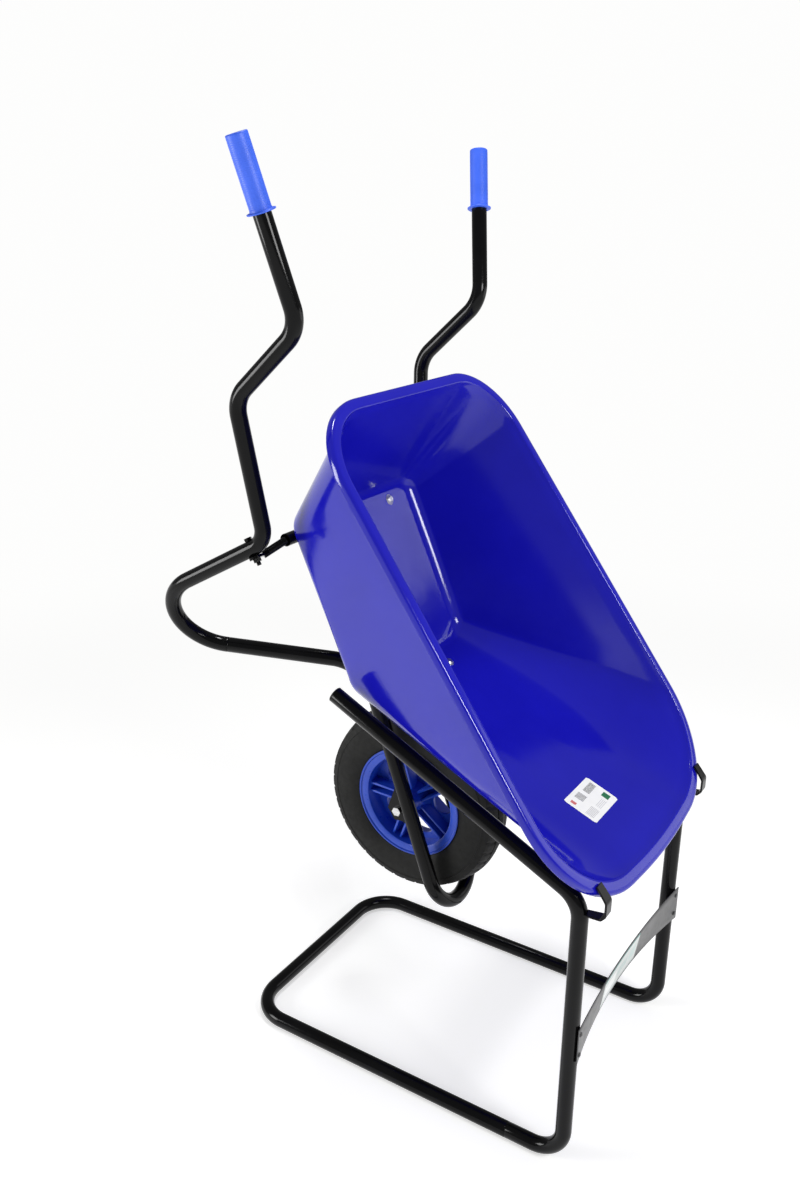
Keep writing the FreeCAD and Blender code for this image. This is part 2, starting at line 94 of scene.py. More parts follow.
def ramp(tree, value, stops):
    r = tree.nodes.new("ShaderNodeValToRGB")
    while len(r.color_ramp.elements) < len(stops):
        r.color_ramp.elements.new(0.5)
    for element, (at, colour) in zip(r.color_ramp.elements, stops):
        element.position = at
        element.color = (*colour, 1)
    tree.links.new(value, r.inputs["Fac"])
    return r.outputs["Color"]


def spread(tree, value, low, high):
    """The middle of a noise value stretched from low to high."""
    r = tree.nodes.new("ShaderNodeMapRange")
    r.inputs["From Min"].default_value = NOISE_LOW
    r.inputs["From Max"].default_value = NOISE_HIGH
    r.inputs["To Min"].default_value = low
    r.inputs["To Max"].default_value = high
    tree.links.new(value, r.inputs["Value"])
    return r.outputs["Result"]


def bump(tree, shader, layers):
    """Bump from several (height, strength, distance) layers in a chain."""
    last = None
    for height, strength, distance in layers:
        b = tree.nodes.new("ShaderNodeBump")
        b.inputs["Strength"].default_value = strength
        b.inputs["Distance"].default_value = distance
        tree.links.new(height, b.inputs["Height"])
        if last is not None:
            tree.links.new(last, b.inputs["Normal"])
        last = b.outputs["Normal"]
    tree.links.new(last, shader.inputs["Normal"])


def surface(name, dark, light, rough, blotch, grain, grain_depth, **kw):
    """Two-tone colour, uneven gloss and fine relief, the base of every finish."""
    m, tree, b = new_material(name, dark, rough[0], **kw)
    patch = noise(tree, blotch, 5)
    two_tone = ramp(tree, patch, [(NOISE_LOW, dark), (NOISE_HIGH, light)])
    tree.links.new(two_tone, b.inputs["Base Color"])
    wear = noise(tree, blotch * WEAR_FINER, 6, 0.7)
    tree.links.new(spread(tree, wear, *rough), b.inputs["Roughness"])
    fine = noise(tree, grain, 3)
    wave = noise(tree, grain / WAVE_COARSER, 2)
    bump(tree, b, [(fine, GRAIN_STRENGTH, grain_depth),
                   (wave, WAVE_STRENGTH, grain_depth * WAVE_DEEPER)])
    return m


black_coat = surface("black_powder_coat", (0.002, 0.002, 0.0022), (0.004, 0.004, 0.0045),
                     (0.1, 0.18), 14, 1500, 0.00003, specular=0.17)
tray_blue = surface("tray_polyethylene", (0.0065, 0.006, 0.36), (0.009, 0.0085, 0.42),
                    (0.09, 0.15), 5, 1100, 0.000015, specular=0.45)
rim_blue = surface("rim_plastic", (0.008, 0.05, 0.44), (0.014, 0.065, 0.52),
                   (0.25, 0.4), 22, 900, 0.00005)
grip_blue = surface("grip_rubber", (0.035, 0.115, 0.72), (0.05, 0.14, 0.82),
                    (0.34, 0.5), 26, 1300, 0.0001, specular=0.45)
tyre_black = surface("tyre_rubber", (0.004, 0.004, 0.0038), (0.009, 0.009, 0.0082),
                     (0.5, 0.72), 18, 700, 0.0002, specular=0.22)
zinc = surface("zinc_plate", (0.5, 0.51, 0.52), (0.66, 0.66, 0.66),
               (0.22, 0.4), 60, 1800, 0.00004, metal=1.0)
plug_black = surface("plug_plastic", (0.006, 0.006, 0.006), (0.012, 0.012, 0.012),
                     (0.45, 0.6), 30, 1200, 0.0001, specular=0.35)
band_grey = surface("band_plastic", (0.06, 0.06, 0.062), (0.078, 0.078, 0.08),
                    (0.28, 0.4), 10, 900, 0.00006, specular=0.35)


def label_axis(tree, which):
    """One of a label's own coordinates, 0 to 1 across it."""
    coords = tree.nodes.new("ShaderNodeTexCoord")
    split = tree.nodes.new("ShaderNodeSeparateXYZ")
    tree.links.new(coords.outputs["UV"], split.inputs["Vector"])
    return split.outputs[which]


def maths(tree, kind, a, b):
    n = tree.nodes.new("ShaderNodeMath")
    n.operation = kind
    for socket, v in zip(n.inputs, (a, b)):
        if isinstance(v, (int, float)):
            socket.default_value = v
        else:
            tree.links.new(v, socket)
    return n.outputs["Value"]


def patch_mask(tree, u0, u1, v0, v1):
    """1 inside a rectangle of the label's own coordinates, else 0."""
    u, v = label_axis(tree, "X"), label_axis(tree, "Y")
    inside = maths(tree, "MULTIPLY", maths(tree, "GREATER_THAN", u, u0),
                   maths(tree, "LESS_THAN", u, u1))
    across = maths(tree, "MULTIPLY", maths(tree, "GREATER_THAN", v, v0),
                   maths(tree, "LESS_THAN", v, v1))
    return maths(tree, "MULTIPLY", inside, across)


def stripes(tree, which, count, share):
    """1 on the bars of an even run across the label, else 0."""
    wrapped = maths(tree, "FRACT", maths(tree, "MULTIPLY", label_axis(tree, which), count), 0)
    return maths(tree, "LESS_THAN", wrapped, share)


MOTTLE = 0.94
LABEL_ROUGHNESS = 0.3
LABEL_ROUGHNESS_SPREAD = 0.15


def printed(name, paper, patches, rough=LABEL_ROUGHNESS):
    """Label stock with plain printed blocks: (mask maker, colour) in order."""
    m, tree, b = new_material(name, paper, rough, coat=0.15)
    dull = [c * MOTTLE for c in paper]
    colour = ramp(tree, noise(tree, 40), [(NOISE_LOW, dull), (NOISE_HIGH, paper)])
    for mask, ink in patches:
        mix = tree.nodes.new("ShaderNodeMix")
        mix.data_type = "RGBA"
        tree.links.new(mask(tree), mix.inputs["Factor"])
        tree.links.new(colour, mix.inputs["A"])
        mix.inputs["B"].default_value = (*ink, 1)
        colour = mix.outputs["Result"]
    tree.links.new(colour, b.inputs["Base Color"])
    worn = spread(tree, noise(tree, 90), rough, rough + LABEL_ROUGHNESS_SPREAD)
    tree.links.new(worn, b.inputs["Roughness"])
    bump(tree, b, [(noise(tree, 900), 0.2, 0.00003)])
    return m


def block(u0, u1, v0, v1):
    """Mask maker for a plain printed rectangle."""
    return lambda tree: patch_mask(tree, u0, u1, v0, v1)


def barred(u0, u1, v0, v1, which, count, share):
    """Mask maker for a rectangle filled with bars."""
    return lambda tree: maths(tree, "MULTIPLY", patch_mask(tree, u0, u1, v0, v1),
                              stripes(tree, which, count, share))


# ---- mesh helpers ----------------------------------------------------------
def add_mesh(name, verts, faces, place, body, material, replaces=(), uvs=None,
             sharp=None):
    """Smooth-shaded piece from millimetre points, riding on a body."""
    mesh = bpy.data.meshes.new(name)
    mesh.from_pydata([place @ Vector(v) for v in verts], [], faces)
    mesh.validate()
    if uvs:
        layer = mesh.uv_layers.new(name="UVMap")
        for loop in mesh.loops:
            layer.data[loop.index].uv = uvs[loop.vertex_index]
    tidy = bmesh.new()
    tidy.from_mesh(mesh)
    bmesh.ops.recalc_face_normals(tidy, faces=tidy.faces)
    tidy.to_mesh(mesh)
    tidy.free()
    for p in mesh.polygons:
        p.use_smooth = True
    if sharp:
        mesh.set_sharp_from_angle(angle=math.radians(sharp))
    mesh.materials.append(material)
    obj = bpy.data.objects.new(name, mesh)
    bpy.context.collection.objects.link(obj)
    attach(obj, body)
    if replaces:
        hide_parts(*replaces)
    return obj


def bridge(rings, closed_rows=False):
    """Quads between equal rings of points; returns vertices and faces."""
    count = len(rings[0])
    verts = [p for ring in rings for p in ring]
    faces = []
    rows = len(rings) if closed_rows else len(rings) - 1
    for r in range(rows):
        s = (r + 1) % len(rings)
        for k in range(count):
            n = (k + 1) % count
            faces.append((r * count + k, r * count + n, s * count + n, s * count + k))
    return verts, faces


def bent(points, radii, step=4.0):
    """Centre line: straight runs joined by tangent arcs."""
    line = [Vector(points[0])]
    for before, corner, after, radius in zip(points, points[1:], points[2:], radii):
        before, corner, after = Vector(before), Vector(corner), Vector(after)
        come = (corner - before).normalized()
        leave = (after - corner).normalized()
        turn = come.angle(leave)
        reach = radius * math.tan(turn / 2)
        start = corner - come * reach
        inward = (leave - come).normalized()
        centre = corner + inward * (radius / math.cos(turn / 2))
        axis = come.cross(leave)
        count = max(6, int(radius * turn / step))
        for k in range(count + 1):
            line.append(centre + Matrix.Rotation(turn * k / count, 3, axis) @ (start - centre))
    line.append(Vector(points[-1]))
    clean = [line[0]]
    for p in line[1:]:
        if (p - clean[-1]).length > 0.05:
            clean.append(p)
    return clean


def frames(line):
    """Turning-free cross axes along a centre line."""
    out = []
    tangent = (line[1] - line[0]).normalized()
    side = tangent.orthogonal().normalized()
    for k, p in enumerate(line):
        ahead = line[min(k + 1, len(line) - 1)] - p
        behind = p - line[max(k - 1, 0)]
        t = (ahead.normalized() + behind.normalized()).normalized()
        side = (side - t * side.dot(t)).normalized()
        out.append((p, t, side, t.cross(side)))
    return out


def ring_at(centre, a, b, radius, count=40):
    """Circle of points about a centre, in the plane of a and b."""
    turns = [2 * math.pi * k / count for k in range(count)]
    return [centre + a * (radius * math.cos(t)) + b * (radius * math.sin(t)) for t in turns]


TUBE_INSIDE = 20
TUBE_END = [(TUBE_R - WALL, TUBE_INSIDE), (TUBE_R - WALL, 0.4), (TUBE_R - WALL + 0.4, 0),
            (TUBE_R - EDGE, 0), (TUBE_R - EDGE * 0.3, EDGE * 0.3), (TUBE_R, EDGE)]


def tube(name, points, radii, place, body, replaced):
    """Black bent tube, open at both ends, with slightly broken edges."""
    path = frames(bent(points, radii))
    p0, t0, a0, b0 = path[0]
    p1, t1, a1, b1 = path[-1]
    rings = [ring_at(p0 + t0 * h, a0, b0, r) for r, h in TUBE_END]
    rings += [ring_at(p, a, b, TUBE_R) for p, t, a, b in path[1:-1]]
    rings += [ring_at(p1 - t1 * h, a1, b1, r) for r, h in TUBE_END[::-1]]
    verts, faces = bridge(rings)
    add_mesh(name, verts, faces, place, body, black_coat, [replaced], sharp=50)


def turned(profile, centre, axis, a, b, count=40, closed=False):
    """Surface of revolution from (radius, distance along the axis) points."""
    return bridge([ring_at(centre + axis * h, a, b, r, count) for r, h in profile], closed)


def rounded_box(centre, u, v, w, size, bevel):
    """Box along three axes, with its edges rounded off."""
    bm = bmesh.new()
    bmesh.ops.create_cube(bm, size=1)
    turn = Matrix((u, v, w)).transposed().to_4x4()
    scale = Matrix.Diagonal((*size, 1))
    bmesh.ops.transform(bm, matrix=Matrix.Translation(centre) @ turn @ scale, verts=bm.verts)
    bmesh.ops.bevel(bm, geom=bm.edges[:], offset=bevel, segments=3, profile=0.5,
                    affect="EDGES", clamp_overlap=True)
    bm.verts.index_update()
    verts = [p.co.copy() for p in bm.verts]
    faces = [tuple(p.index for p in f.verts) for f in bm.faces]
    bm.free()
    return verts, faces


def join(parts):
    """One list of vertices and one of faces from several."""
    verts, faces = [], []
    for v, f in parts:
        base = len(verts)
        verts += v
        faces += [tuple(i + base for i in face) for face in f]
    return verts, faces


def flip(point, side):
    """The same point on the left (1) or right (-1) side."""
    return Vector((point[0], point[1] * side, point[2]))


# ---- stand -----------------------------------------------------------------
LOOP_DEPTH = 730.0
JOINT_X = 112.0
POST_TOP = 568.0
RUN, RISE = 498.0, 248.0
LOOP_BEND = 80
POST_BEND = 60
CAP_PROFILE = [(0.1, 2.6), (9, 3), (13.4, 2.7), (15, 1.4), (15, 0), (13, 0), (13, -13)]
HOOK_CENTRE_LINE = [(9, 548), (39.5, 551), (47.3, 560), (47.3, 585), (28.4, 610)]
HOOK_BENDS = [5, 6, 12]
HOOK_STEP = 1.0
HOOK_SECTION = [(-11, -1.2), (-10.4, -2), (10.4, -2), (11, -1.2), (11, 1.2), (10.4, 2),
                (-10.4, 2), (-11, 1.2)]
HOOK_END_SHRINK = 0.85


def at_post(back, y, z):
    """Point at a distance behind the front posts' centre line."""
    return Vector((POST_X - back, y, z))


def build_stand():
    r = TUBE_R
    loop = [at_post(JOINT_X, -POST_Y, r), at_post(LOOP_DEPTH, -POST_Y, r),
            at_post(LOOP_DEPTH, POST_Y, r), at_post(JOINT_X, POST_Y, r)]
    tube("floor_loop_look", loop, [LOOP_BEND] * 2, STAND, "stand", "stand_floor_loop")
    slope = Vector((-RUN, 0, RISE)).normalized()
    caps = []
    for side_name, side in SIDES.items():
        y = POST_Y * side
        top = at_post(RUN, y, POST_TOP + RISE)
        path = [at_post(JOINT_X, y, r), at_post(0, y, r), at_post(0, y, POST_TOP), top]
        tube("upright_look_" + side_name, path, [POST_BEND] * 2, STAND, "stand",
             "stand_upright_" + side_name)
        caps.append(turned(CAP_PROFILE, top, slope, ACROSS, slope.cross(ACROSS)))
        build_hook(side_name, side)
    verts, faces = join(caps)
    add_mesh("end_caps_look", verts, faces, STAND, "stand", plug_black,
             ["stand_end_caps"], sharp=35)


def build_hook(side_name, side):
    """Bent strap: a flat bar swept round its bends, with rounded edges."""
    path = [at_post(-ahead, 0, z) for ahead, z in HOOK_CENTRE_LINE]
    line = bent(path, HOOK_BENDS, HOOK_STEP)
    rings = []
    for k, p in enumerate(line):
        ahead = line[min(k + 1, len(line) - 1)] - line[max(k - 1, 0)]
        normal = ahead.normalized().cross(ACROSS)
        shrink = HOOK_END_SHRINK if k in (0, len(line) - 1) else 1.0
        rings.append([p + ACROSS * (POST_Y * side + u * shrink) + normal * (w * shrink)
                      for u, w in HOOK_SECTION])
    verts, faces = bridge(rings)
    n = len(HOOK_SECTION)
    faces += [tuple(range(n)), tuple(range(len(verts) - n, len(verts)))]
    add_mesh("rim_hook_look_" + side_name, verts, faces, STAND, "stand",
             black_coat, ["rim_hook_" + side_name], sharp=40)


BAND_LOW, BAND_HIGH, BAND_HALF = 240.0, 316.0, 253.0
BAND_BOW_LOW, BAND_BOW_HIGH = 26, 13
BAND_BACK = TUBE_R + 2.5
BAND_FRONT = TUBE_R + 4.3
BAND_EDGE = 0.5
LABEL_FRONT = TUBE_R + 4.6
LABEL_FROM, LABEL_TO = -108, 70
LABEL_MARGIN = 4.5
LABEL_EDGE = 0.1
SHEET_COLUMNS = 61
SHEET_ROWS = 6
SCREW_SEAT = TUBE_R + 3
SCREW_INSET = 16
SCREW_PROFILE = [(2, -6), (2, 0), (4.5, 0), (4.5, 1), (3.7, 2), (2, 2.45), (1.6, 1.6),
                 (0.1, 1.6)]


def band_point(y, z, offset):
    """Point on the bowed band; it bows back more along its lower edge."""
    share = (z - BAND_LOW) / (BAND_HIGH - BAND_LOW)
    bow = BAND_BOW_LOW + (BAND_BOW_HIGH - BAND_BOW_LOW) * share
    return Vector((POST_X + offset - bow * (1 - (y / BAND_HALF) ** 2), y, z))


def band_sheet(y0, y1, z0, z1, back, front, edge):
    """Thin curved sheet with softened long edges, and its uv grid."""
    rows = [(z0 + edge, back), (z0, back + edge), (z0, front - edge), (z0 + edge, front)]
    rows += [(z0 + (z1 - z0) * k / SHEET_ROWS, front) for k in range(1, SHEET_ROWS)]
    rows += [(z1 - edge, front), (z1, front - edge), (z1, back + edge), (z1 - edge, back)]
    ys = [y0 + (y1 - y0) * k / (SHEET_COLUMNS - 1) for k in range(SHEET_COLUMNS)]
    rings = [[band_point(y, z, off) for z, off in rows] for y in ys]
    verts, faces = bridge(rings)
    n = len(rows)
    faces += [tuple(range(n)), tuple(range(len(verts) - n, len(verts)))]
    uvs = [((y - y0) / (y1 - y0), (z - z0) / (z1 - z0)) for y in ys for z, off in rows]
    return verts, faces, uvs


label_print = printed("band_label_print", (0.62, 0.66, 0.65), [
    (block(0, 1, 0.0, 0.07), (0.2, 0.24, 0.24)), (block(0, 1, 0.93, 1.0), (0.12, 0.3, 0.28)),
    (block(0.05, 0.4, 0.3, 0.72), (0.8, 0.82, 0.82)),
    (barred(0.45, 0.72, 0.35, 0.66, "X", 34, 0.45), (0.34, 0.5, 0.48)),
    (block(0.78, 0.95, 0.3, 0.7), (0.5, 0.62, 0.6))], rough=0.32)
sticker_print = printed("tray_sticker_print", (0.93, 0.93, 0.92), [
    (barred(0.07, 0.36, 0.62, 0.86, "Y", 26, 0.45), (0.5, 0.5, 0.52)),
    (barred(0.44, 0.72, 0.66, 0.84, "Y", 22, 0.4), (0.62, 0.62, 0.64)),
    (block(0.79, 0.93, 0.6, 0.82), (0.02, 0.16, 0.07)),
    (barred(0.6, 0.93, 0.16, 0.36, "X", 48, 0.55), (0.06, 0.06, 0.06)),
    (barred(0.3, 0.5, 0.12, 0.38, "X", 40, 0.5), (0.08, 0.08, 0.09)),
    (block(0.08, 0.16, 0.14, 0.3), (0.62, 0.16, 0.16))])


def build_band():
    verts, faces, _ = band_sheet(-BAND_HALF, BAND_HALF, BAND_LOW, BAND_HIGH, BAND_BACK,
                                 BAND_FRONT, BAND_EDGE)
    add_mesh("name_band_look", verts, faces, STAND, "stand", band_grey,
             ["name_band"], sharp=50)
    verts, faces, uvs = band_sheet(LABEL_FROM, LABEL_TO, BAND_LOW + LABEL_MARGIN,
                                   BAND_HIGH - LABEL_MARGIN, BAND_FRONT, LABEL_FRONT,
                                   LABEL_EDGE)
    add_mesh("band_label_look", verts, faces, STAND, "stand", label_print,
             ["name_label"], uvs, sharp=50)
    heads = []
    for side in SIDES.values():
        for z in (BAND_LOW + SCREW_INSET, BAND_HIGH - SCREW_INSET):
            centre = at_post(-SCREW_SEAT, POST_Y * side, z)
            heads.append(turned(SCREW_PROFILE, centre, Vector((1, 0, 0)), ACROSS,
                                Vector((0, 0, 1)), 24))
    verts, faces = join(heads)
    add_mesh("band_screws_look", verts, faces, STAND, "stand", band_grey, ["band_screws"],
             sharp=35)


# ---- chassis ---------------------------------------------------------------
GRIP_END = Vector((-1074.6, 369.2, 642.6))
HANDLE_BEND = Vector((-813.6, 297.6, 519.8))
NECK_BEND = Vector((-792.0, 298.8, 335.5))
CROSS_BEND = Vector((-570.5, 260.0, 204.0))
FOOT = Vector((-620.5, 309.1, -267.7))
KNEE = Vector((-293.0, 74.0, 110.6))
NOSE = Vector((227.9, 74.0, -39.5))
SEAM = FOOT.lerp(KNEE, 0.505)
HANDLE_BENDS = [60, 60, 45, 96]
FORK_BENDS = [95, 73.99, 73.99, 95]
TUBE_START_IN_GRIP = 6
GRIP_RIBS = 33
GRIP_NOSE = [(0.1, 0), (15.2, 0.1), (16.6, 0.5), (17.3, 1.4), (17.5, 3), (17.5, 9)]
GRIP_RIB = [(17.42, 0), (17.62, 0.7), (17.62, 2.1), (17.42, 2.8)]
GRIP_RIB_FIRST = 10
GRIP_RIB_PITCH = 3
GRIP_FLANGE = [(17.6, 110), (18.3, 112.6), (22.6, 113.3), (23.4, 113.8), (23.5, 114.6),
               (23.2, 115.6), (22.4, 116), (15.1, 116), (15.1, 100)]


def build_chassis():
    for side_name, side in SIDES.items():
        run = (HANDLE_BEND - GRIP_END).normalized()
        path = [GRIP_END + run * TUBE_START_IN_GRIP, HANDLE_BEND, NECK_BEND, CROSS_BEND, FOOT,
                SEAM]
        tube("handle_tube_look_" + side_name, [flip(p, side) for p in path], HANDLE_BENDS,
             BARROW, "barrow", "handle_tube_" + side_name)
        build_grip(side_name, side)
    path = [SEAM, KNEE, NOSE, flip(NOSE, -1), flip(KNEE, -1), flip(SEAM, -1)]
    tube("fork_tube_look", path, FORK_BENDS, BARROW, "barrow", "front_fork_tube")


def build_grip(side_name, side):
    """Moulded grip: near-flat end, shallow fine ribs and a thin stop flange."""
    end = flip(GRIP_END, side)
    run = (flip(HANDLE_BEND, side) - end).normalized()
    profile = list(GRIP_NOSE)
    for k in range(GRIP_RIBS):
        low = GRIP_RIB_FIRST + GRIP_RIB_PITCH * k
        profile += [(r, low + h) for r, h in GRIP_RIB]
    profile += GRIP_FLANGE
    a = run.orthogonal().normalized()
    verts, faces = turned(profile, end, run, a, run.cross(a), 56)
    add_mesh("grip_look_" + side_name, verts, faces, BARROW, "barrow", grip_blue,
             ["grip_" + side_name], sharp=60)


# ---- tray ------------------------------------------------------------------
RIM_Z = 460.0
RIM_REAR = -684.3
RIM_FRONT = 246.0
RIM_HALF_REAR = 289.8
RIM_HALF_FRONT = 314.0
FLOOR_REAR, FLOOR_REAR_Z = -590.0, 218.2
FLOOR_FRONT, FLOOR_FRONT_Z = -245.0, 148.1
FLOOR_HALF = 201.0
FLOOR_FILLET = 34.0
TRAY_WALL = 4.0
RIM_BOW = 27.0
BOW_AT_FLOOR = 0.1
BOW_AHEAD = 0.16
BOW_R = 1300
REAR_CORNER, REAR_CORNER_GAIN = 36, 90
FRONT_CORNER, FRONT_CORNER_GAIN = 50, 130
CORNER_STEPS = 20
RUN_STEPS = 10
FILLET_STEPS = 10
FLOOR_SHARES = (0.02, 0.35, 0.7, 0.9)
WALL_SHARES = (0.08, 0.2, 0.35, 0.5, 0.65, 0.8, 0.9, 0.96)
FLOOR_MIDDLE_X = -420
INNER_LIFT = 1.02
INNER_FLOOR_FRONT = 0.25
INNER_RIM_FRONT = 1.95
FLOOR_UP = Vector((FLOOR_REAR_Z - FLOOR_FRONT_Z, 0, FLOOR_FRONT - FLOOR_REAR)).normalized()


def corner_points(corners, radii):
    """Evenly shared outline points: arcs at the corners, straight runs between."""
    cuts = []
    count = len(corners)
    for k in range(count):
        before, corner, after = corners[k - 1], corners[k], corners[(k + 1) % count]
        come = (corner - before).normalized()
        leave = (after - corner).normalized()
        turn = come.angle(leave)
        reach = radii[k] * math.tan(turn / 2)
        start = corner - come * reach
        centre = corner + (leave - come).normalized() * (radii[k] / math.cos(turn / 2))
        axis = come.cross(leave)
        arc = [centre + Matrix.Rotation(turn * j / CORNER_STEPS, 3, axis) @ (start - centre)
               for j in range(CORNER_STEPS + 1)]
        cuts.append(arc)
    points = []
    for k in range(count):
        points += cuts[k]
        a, b = cuts[k][-1], cuts[(k + 1) % count][0]
        points += [a.lerp(b, j / RUN_STEPS) for j in range(1, RUN_STEPS)]
    return points


def floor_height(x):
    """Height of the tray's sloping outer floor at x."""
    slope = (FLOOR_REAR_Z - FLOOR_FRONT_Z) / (FLOOR_REAR - FLOOR_FRONT)
    return FLOOR_FRONT_Z + slope * (x - FLOOR_FRONT)


def outline(grow, level, front_grow):
    """Tray plan from the floor (level 0) to the rim (level 1), grown outwards."""
    rear = FLOOR_REAR + (RIM_REAR - FLOOR_REAR) * level - grow
    front = FLOOR_FRONT + (RIM_FRONT - FLOOR_FRONT) * level + front_grow
    half_rear = FLOOR_HALF + (RIM_HALF_REAR - FLOOR_HALF) * level + grow
    half_front = FLOOR_HALF + (RIM_HALF_FRONT - FLOOR_HALF) * level + grow
    bow = RIM_BOW * (BOW_AT_FLOOR + (1 - BOW_AT_FLOOR) * level)
    side_x = front - (1 - BOW_AHEAD) * bow
    corners = [Vector((rear, -half_rear, 0)), Vector((side_x, -half_front, 0)),
               Vector((front + BOW_AHEAD * bow, 0, 0)), Vector((side_x, half_front, 0)),
               Vector((rear, half_rear, 0))]
    rear_r = REAR_CORNER + REAR_CORNER_GAIN * level + grow
    front_r = FRONT_CORNER + FRONT_CORNER_GAIN * level + grow
    return corner_points(corners, [rear_r, front_r, BOW_R, front_r, rear_r])


def wall_rings(inset):
    """Rings from the middle of the floor, round the fillet and up the wall."""
    lift = inset * INNER_LIFT
    low = [Vector((p.x, p.y, floor_height(p.x) + lift))
           for p in outline(-inset, 0, -inset * INNER_FLOOR_FRONT)]
    high = rim_ring(-inset, -inset * INNER_RIM_FRONT, RIM_Z)
    centre = Vector((FLOOR_MIDDLE_X, 0, floor_height(FLOOR_MIDDLE_X) + lift))
    radius = FLOOR_FILLET - inset
    count = len(low)
    rounds = []
    for k in range(count):
        along = (low[(k + 1) % count] - low[k - 1]).normalized()
        inward = FLOOR_UP.cross(along).normalized()
        if inward.dot(centre - low[k]) < 0:
            inward = -inward
        up = high[k] - low[k]
        up = (up - along * up.dot(along)).normalized()
        turn = (-inward).angle(up)
        reach = radius * math.tan(turn / 2)
        wall_dir = (high[k] - low[k]).normalized()
        wall_reach = reach / max(0.3, wall_dir.dot(up))
        a = low[k] + inward * reach
        b = low[k] + wall_dir * wall_reach
        row = []
        w = math.cos(turn / 2)
        for j in range(FILLET_STEPS + 1):
            t = j / FILLET_STEPS
            p = a * (1 - t) ** 2 + low[k] * (2 * t * (1 - t) * w) + b * t ** 2
            row.append(p / ((1 - t) ** 2 + 2 * t * (1 - t) * w + t ** 2))
        rounds.append(row)
    rings = [[centre.lerp(row[0], s) for row in rounds] for s in FLOOR_SHARES]
    rings += [[row[j] for row in rounds] for j in range(FILLET_STEPS + 1)]
    rings += [[row[-1].lerp(top, s) for row, top in zip(rounds, high)] for s in WALL_SHARES]
    return rings


def rim_ring(grow, front_grow, z):
    """Rim outline grown by different amounts all round and at the front."""
    return [Vector((p.x, p.y, z)) for p in outline(grow, 1, front_grow)]


# The rim from the inner wall over the lip and back: growth, growth at the
# front, and distance below the rim's top.
INNER_EDGE = [(-4.1, -8.0, 4.5), (-3.7, -7.2, 2.4), (-2.6, -5.2, 0.7), (-0.6, -2.4, 0)]
LIP = [(4, 0), (9, 0), (13, 0.2), (15.6, 1.0), (17.3, 2.8), (18, 5.6), (18, 10), (18, 13.8),
       (17.5, 15), (16, 15.5), (14.6, 15), (14, 14), (13.6, 6.2), (12, 4.2), (8, 4),
       (2.5, 4.4), (0.4, 6.5)]


def build_tray():
    rings = wall_rings(TRAY_WALL)
    rings += [rim_ring(grow, front_grow, RIM_Z - down) for grow, front_grow, down in INNER_EDGE]
    rings += [rim_ring(grow, grow, RIM_Z - down) for grow, down in LIP]
    rings += wall_rings(0.0)[::-1]
    verts, faces = bridge(rings)
    n = len(rings[0])
    faces += [tuple(range(n)), tuple(range(len(verts) - n, len(verts)))]
    add_mesh("tray_look", verts, faces, BARROW, "barrow", tray_blue, ["tray"],
             sharp=60)
    build_sticker()
    build_tray_bolts()


def front_wall(along, lift):
    """Point on the front wall's middle line, with the wall's directions."""
    low = Vector((FLOOR_FRONT, 0, FLOOR_FRONT_Z))
    up = (Vector((RIM_FRONT, 0, RIM_Z)) - low).normalized()
    normal = Vector((-up.z, 0, up.x))
    return low + up * along + normal * lift, up, normal


STICKER_ALONG = 441
STICKER_LIFT = 4.7
STICKER_START = -82
STICKER_WIDE, STICKER_TALL = 104, 70
STICKER_CORNER = 2.5
WALL_CURVE = 2.6e-4


def build_sticker():
    """Label on the inner face of the front wall, with its corners cut."""
    point, up, normal = front_wall(STICKER_ALONG, STICKER_LIFT)
    rows, columns = 15, 21
    verts, uvs, faces = [], [], []
    for r in range(rows):
        for c in range(columns):
            a, b = c / (columns - 1), r / (rows - 1)
            cut = STICKER_CORNER if a in (0, 1) and b in (0, 1) else 0
            y = STICKER_START + STICKER_WIDE * a + cut * (1 - 2 * a)
            verts.append(point + up * (STICKER_TALL * (b - 0.5)) + ACROSS * y
                         + normal * (y * y * WALL_CURVE))
            uvs.append((a, b))
    for r in range(rows - 1):
        for c in range(columns - 1):
            k = r * columns + c
            faces.append((k, k + 1, k + columns + 1, k + columns))
    add_mesh("tray_sticker_look", verts, faces, BARROW, "barrow", sticker_print,
             ["tray_sticker"], uvs)


CROSS_TUBE = Vector((-561, 0, 200))
CROSS_TUBE_R = 12
REAR_BOLT_Y = 118
FRONT_BOLT_Y = 80
FRONT_BOLT_ALONG = 44
WASHER_PROFILE = [(4, 0), (11, 0), (11, 1.0), (10.5, 1.5), (4.2, 1.5)]
DOME_PROFILE = [(4, 1.4), (8.8, 1.5), (9, 1.9), (8.6, 2.9), (7.4, 4.1), (5.4, 5.0), (3, 5.4),
                (0.1, 5.5)]


def build_tray_bolts():
    """Domed heads over the CAD bolts, and washers in place of the CAD ones."""
    rear = CROSS_TUBE + FLOOR_UP * CROSS_TUBE_R
    front, _, normal = front_wall(FRONT_BOLT_ALONG, 0)
    heads, washers = [], []
    for point, axis, y in ((rear, FLOOR_UP, REAR_BOLT_Y), (front, normal, FRONT_BOLT_Y)):
        b = axis.cross(ACROSS)
        for side in SIDES.values():
            seat = point + axis * TRAY_WALL + ACROSS * (y * side)
            washers.append(turned(WASHER_PROFILE, seat, axis, ACROSS, b, closed=True))
            heads.append(turned(DOME_PROFILE, seat, axis, ACROSS, b))
    for name, parts, replaced in (("tray_bolt_heads_look", heads, []),
                                  ("tray_washers_look", washers, ["tray_washers"])):
        verts, faces = join(parts)
        add_mesh(name, verts, faces, BARROW, "barrow", zinc, replaced, sharp=40)


